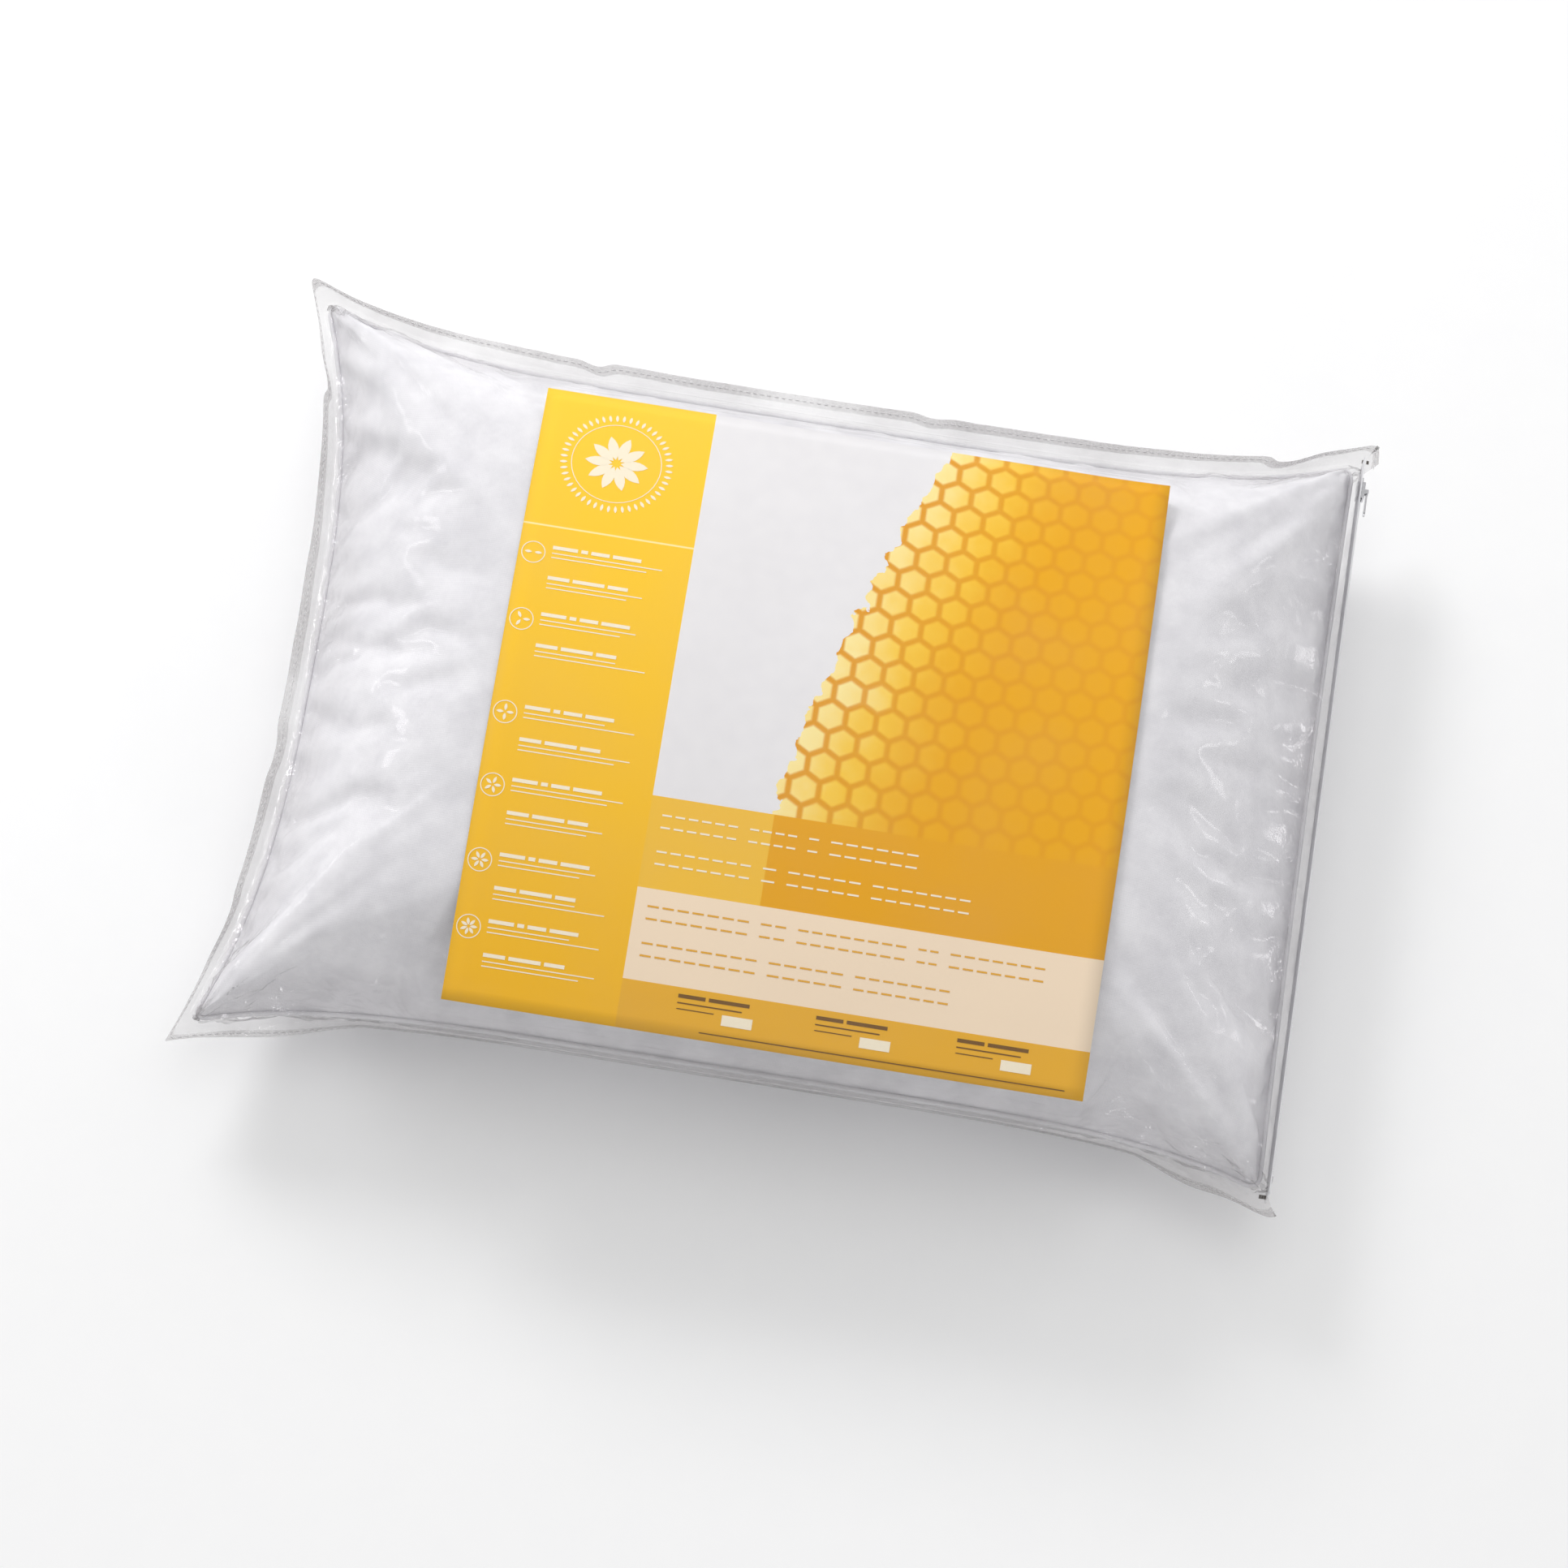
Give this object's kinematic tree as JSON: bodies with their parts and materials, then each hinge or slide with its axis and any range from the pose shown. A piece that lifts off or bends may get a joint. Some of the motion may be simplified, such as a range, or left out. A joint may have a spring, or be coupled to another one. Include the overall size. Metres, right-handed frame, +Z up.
{
  "type": "bed pillow",
  "caption": "Feather and down bed pillow, flat in a clear zipped bag with a printed insert card under the film.",
  "frame": {"origin": "bottom centre of the box around the bag, on the flat face that it rests on", "axes": "+X along the pillow's length, towards the zip; +Y across its width; +Z up through its loft"},
  "size_m": [0.6654, 0.4987, 0.1497],
  "materials": {
    "vinyl_film": "clear glossy flexible vinyl film",
    "vinyl_binding": "milky folded vinyl strip",
    "white_thread": "twisted polyester sewing thread",
    "zip_tape": "woven polyester zip tape",
    "zip_coil": "nylon monofilament coil",
    "zip_metal": "plated zinc",
    "printed_card": "coated board with a printed face",
    "cotton_cover": "downproof woven cotton",
    "label_satin": "blank woven satin",
    "down": "white down clusters",
    "inner_cotton": "plain woven cotton",
    "feather": "small curled feathers"
  },
  "bodies": {
    "packed_pillow": {"bag_front_panel": "vinyl_film", "bag_back_panel": "vinyl_film", "bag_edge_binding": "vinyl_binding", "bag_binding_thread": "white_thread", "zip_tape_upper": "zip_tape", "zip_tape_lower": "zip_tape", "zip_coil_upper": "zip_coil", "zip_coil_lower": "zip_coil", "zip_tape_thread": "white_thread", "zip_top_stop": "zip_metal", "zip_bottom_stop": "zip_metal", "insert_card": "printed_card", "cover_top_panel": "cotton_cover", "cover_bottom_panel": "cotton_cover", "cover_piping": "cotton_cover", "cover_seam_thread": "white_thread", "care_label": "label_satin", "down_layer_top": "down", "down_layer_bottom": "down", "inner_cover_top": "inner_cotton", "inner_cover_bottom": "inner_cotton", "feather_core": "feather"},
    "slider": {"zip_slider": "zip_metal"},
    "pull": {"zip_pull": "zip_metal"}
  },
  "joints": [
    {"name": "zip_slide", "type": "slide", "parent": "packed_pillow", "child": "slider", "axis": [0, -1, 0], "range_m": [0, 0.4375]},
    {"name": "pull_swing", "type": "hinge", "parent": "slider", "child": "pull", "pos_m": [0.329, 0.219, 0.058], "axis": [0, 0, 1], "range_deg": [0, 170]}
  ]
}
